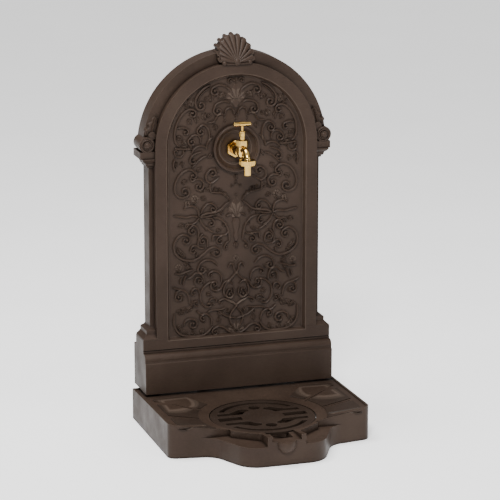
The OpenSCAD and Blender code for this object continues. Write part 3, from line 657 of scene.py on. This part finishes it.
def add_volutes():
    """The spirals at the foot of the arch, each with an eye and three leaves below the arch."""
    count = 90
    angles = np.radians(np.linspace(100, 660, count))
    radii = np.linspace(13.2, 7.6, count)
    path = np.stack([VOLUTE_X + radii * np.cos(angles), VOLUTE_Z + radii * np.sin(angles)], axis=1)
    face = [on_ground(path, np.full(count, 1.5), np.full(count, 1.9), DOMED, VOLUTE_Y)]
    face += [dome(VOLUTE_X, VOLUTE_Z, 5.4, 3.2, VOLUTE_Y - 3)]
    ground = PILASTER_Y - 3
    face += leaf(167, 561, 101, 46, 15, 10, 4, 7.0, ground)
    face += leaf(163, 560, 128, 24, 9, 30, 2, 5.0, ground)
    face += leaf(171, 563, 78, 26, 9, 20, 2, 5.0, ground)
    piece("volutes", face + [mirrored(s) for s in face], (), "fountain", "cast_bronze", 60)


def add_ring():
    rim = []
    for a in np.linspace(0, math.pi, 9):
        rim.append((RING_R - 2.5 - 2.6 * math.cos(a), FRAME_Y + 0.6 - 2.2 * math.sin(a)))
    rim += [(RING_R, FRAME_Y + 2), (RING_R - 5, FRAME_Y + 2)]
    dish = [(41.2, 130), (38.6, 134), (34.5, 137.8), (29, 141), (23, 143.4), (18, 144.6), (15, 145)]
    dish += [(15, 146.6), (30, 146.6), (41.2, 141)]
    place = (0, 0, RING_Z)
    shells = [revolve(rim, place, "Y", 96, True), revolve(dish, place, "Y", 96, True)]
    piece("tap_ring", shells, (), "fountain", "cast_bronze", 50)


def arch_loop(half, low, step=6.0):
    """Points of the recess outline, as place and outward direction, in order round it."""
    up = [((half, z), (1, 0)) for z in np.arange(low, ARCH_Z, step)]
    angles = np.linspace(0, math.pi, 72)
    top = [((half * math.cos(a), ARCH_Z + half * math.sin(a)), (math.cos(a), math.sin(a))) for a in angles]
    down = [((-half, z), (-1, 0)) for z in np.arange(low, ARCH_Z, step)[::-1]]
    corners = [((-half, low), (-1, -1)), ((half, low), (1, -1))]
    return up[1:] + top + down[:-1] + corners


def add_recess_edge():
    """The sloped inner edge of the frame, all round the recess."""
    slope = [(0.6, FRAME_Y + 0.05), (0, FRAME_Y + 0.05), (-2.6, FRAME_Y + 3.6), (-4.2, FLOOR_Y - 0.4),
             (-5.2, FLOOR_Y + 0.4), (0.6, FLOOR_Y + 0.4)]
    rings = []
    for (x, z), (out_x, out_z) in arch_loop(RECESS_HALF, RECESS_Z):
        rings.append([(x + out_x * out, y, z + out_z * out) for out, y in slope])
    rings.append(rings[0])
    piece("recess_edge", [loft(rings, False)], (), "fountain", "cast_bronze", 30)


# ---- Tray ----

PAD_RISE = (-0.5, 0.7, 1.3, 1.3, 0.7, -0.5)
PAD_SPANS = ((32, 47), (4.5, 27), (-27, -0.5))
PAD_NEAR = 122
PAD_SIDE = 181
PAD_BACK = 128
PAD_FRONT = 58
NO_LIMIT = 400


def add_pads():
    """Raised panels that radiate from the grate, on the sloping floor of the tray."""
    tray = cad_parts["basin_tray"].data
    corners = [v.co.copy() for v in tray.vertices]
    surface = BVHTree.FromPolygons(corners, [tuple(f.vertices) for f in tray.polygons])
    grate_front, grate_back = (corner.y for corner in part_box("drain_grate"))
    grate_y = (grate_front + grate_back) / 2 / MM
    shells = []
    for low, high in PAD_SPANS:
        rings = []
        for a in np.radians(np.linspace(low, high, 14)):
            back = PAD_BACK / math.sin(a) if a > 0.01 else NO_LIMIT
            front = PAD_FRONT / -math.sin(a) if a < -0.01 else NO_LIMIT
            far = min(PAD_SIDE / math.cos(a), back, front)
            radii = [PAD_NEAR, PAD_NEAR, PAD_NEAR + 1, far - 1, far, far]
            ring = []
            for radius, rise in zip(radii, PAD_RISE):
                x, y = radius * math.cos(a), grate_y + radius * math.sin(a)
                hit = surface.ray_cast(Vector((x * MM, y * MM, 0.2)), Vector((0, 0, -1)))[0]
                level = hit.z / MM if hit else ring[-1][2]
                ring.append((x, y, level + rise))
            rings.append(ring)
        shells.append(loft(rings))
    piece("tray_pads", shells + [mirrored(s) for s in shells], (), "fountain", "dark_cast", 25)


# ---- Tap ----

TAP_Z = 530
SPINDLE_Y = 94
NOZZLE_Y = 61


def meeting_chamber(ring, radius, forward):
    """The ring's points moved along Y onto the upright chamber."""
    return [(x, SPINDLE_Y - forward * math.sqrt(max(radius ** 2 - x ** 2, 0.2)), z) for x, y, z in ring]


def add_tap():
    """The bib tap's body: an upright chamber, a threaded shank, a curved spout and its nozzle."""
    chamber = [(0, -9.6), (3.5, -9.6), (6.6, -8.2), (8.6, -5), (9.5, 0), (9.5, 10.8), (10.1, 11.6)]
    chamber += [(10.1, 13), (9.8, 13.5), (7.62, 13.5), (7.62, 2), (4.2, 2), (4.2, -6), (0, -6)]
    shells = [revolve(chamber, (0, SPINDLE_Y, TAP_Z))]
    back = [(0, y, TAP_Z) for y in (100, 106, 110, 114, 117, 119, 124, 135.4)]
    rings = bar_rings(back, (9.3, 9, 8.8, 8.8, 9.4, 10.2, 10.4, 10.4), 40)
    rings[0] = meeting_chamber(rings[0], 9.35, -1)
    shells.append(loft(rings))
    shank = [(0, 134), (10.45, 134), (10.45, 147)]
    for k in range(10):
        shank += [(10.1, 147.6 + 2 * k), (10.45, 148.5 + 2 * k)]
    shank += [(9.45, 166.9), (9.45, 177.9), (7.5, 177.9), (7.5, 140), (0, 140)]
    shells.append(revolve(shank, (0, 0, TAP_Z), "Y"))
    curve = smooth_path([(84, 537.2), (79, 538.8), (73.6, 538.6), (68.2, 536), (63.8, 531.4), (61.4, 526.4),
                         (61, 522.6)], 1.2)
    count = len(curve)
    along = np.linspace(0, 1, count)
    rings = bar_rings([(0, y, z) for y, z in curve], 6.4 - 0.5 * np.sin(np.pi * along), 32)
    rings[0] = meeting_chamber(rings[0], 9.3, 1)
    shells.append(loft(rings))
    shells.append(revolve([(0, 521), (6.6, 521), (7.6, 523.7), (7.6, 525.4), (6.9, 526.4), (0, 526.4)],
                          (0, NOZZLE_Y, 0)))
    shells.append(revolve([(0, 103.4), (8.5, 103.4), (9.9, 104.2), (9.9, 105.6), (8.5, 106.4), (0, 106.4)],
                          (0, 0, TAP_Z), "Y"))
    piece("tap_casting", shells, ("tap_body",), "fountain", "brass", 45)


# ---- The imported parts' finish ----

SMALL = 0.1
FASTENER_ROWS = ("flange_bolts", "flange_nuts", "flange_washers")


def finish_nodes():
    """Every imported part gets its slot's material and soft edges."""
    for name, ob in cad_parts.items():
        for slot in ob.material_slots:
            key = slot.material.name.split(".")[0]
            slot.material = FINISH.get(key, BRONZE)
        with bpy.context.temp_override(object=ob, active_object=ob):
            bpy.ops.mesh.customdata_custom_splitnormals_clear()
        ob.data.shade_smooth()
        joined = ob.modifiers.new("joined", "WELD")
        joined.merge_threshold = 1e-6
        flat = ob.modifiers.new("flat", "DECIMATE")
        flat.decimate_type = "DISSOLVE"
        flat.angle_limit = math.radians(0.05)
        soft = ob.modifiers.new("soft_edges", "BEVEL")
        small = name in FASTENER_ROWS or max(ob.dimensions) < SMALL
        soft.width = 0.0003 if small else 0.0009
        soft.segments = 2
        soft.limit_method = "ANGLE"
        soft.angle_limit = math.radians(34)
        crisp = ob.modifiers.new("crisp", "EDGE_SPLIT")
        crisp.split_angle = math.radians(32)
        even = ob.modifiers.new("even", "WEIGHTED_NORMAL")
        even.keep_sharp = True


set_camera()
set_light()
finish_nodes()
add_relief()
add_recess_edge()
add_crest()
add_volutes()
add_pads()
add_ring()
add_tap()

bpy.ops.mesh.primitive_plane_add(size=60, location=(0, 0, 0))
floor = bpy.context.object
floor.name = "floor"
floor.data.materials.append(pale_floor())
